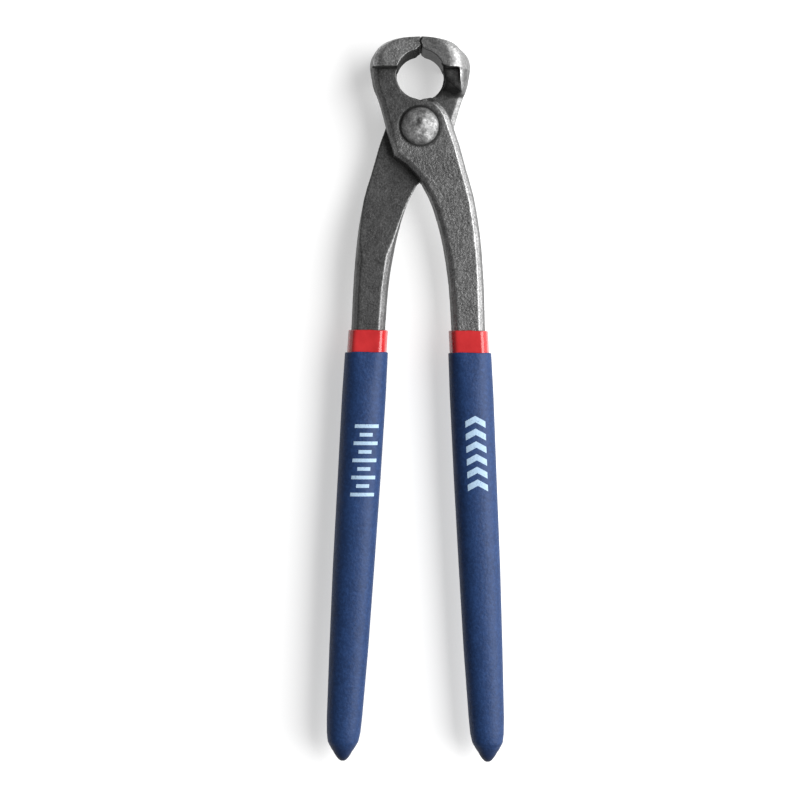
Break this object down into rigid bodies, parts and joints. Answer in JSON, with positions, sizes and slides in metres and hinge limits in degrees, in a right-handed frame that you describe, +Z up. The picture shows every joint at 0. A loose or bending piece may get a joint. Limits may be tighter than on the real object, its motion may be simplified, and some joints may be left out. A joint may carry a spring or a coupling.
{
  "type": "end cutting nipper",
  "caption": "Long-handled end cutting nipper with a riveted lap joint, rounded jaws round an eye, and two-layer dipped grips",
  "frame": {"origin": "under the middle of the tool, on the level of the lower jaw faces; the rivet's axis is at Y 0.106 and its middle at Z 0.012", "axes": "+Z up along the rivet's axis, towards the half whose joint plate is on top; +Y along the tool towards the jaws; +X to the right seen from above"},
  "size_m": [0.0688, 0.28, 0.024],
  "materials": {
    "forged_steel_front": "forged, dark, coarse",
    "forged_steel_rear": "forged, dark, smoother",
    "rivet_steel": "hammered",
    "inner_layer": "glossy dipped vinyl",
    "outer_layer": "matte dipped vinyl"
  },
  "bodies": {
    "rear": {"rear_half": "forged_steel_rear", "pivot_rivet": "rivet_steel", "grip_core_left": "inner_layer", "grip_left": "outer_layer"},
    "front": {"front_half": "forged_steel_front", "grip_core_right": "inner_layer", "grip_right": "outer_layer"}
  },
  "joints": [
    {"name": "jaw_pivot", "type": "hinge", "parent": "rear", "child": "front", "pos_m": [0, 0.106, 0.012], "axis": [0, 0, 1], "range_deg": [0, 70]}
  ]
}
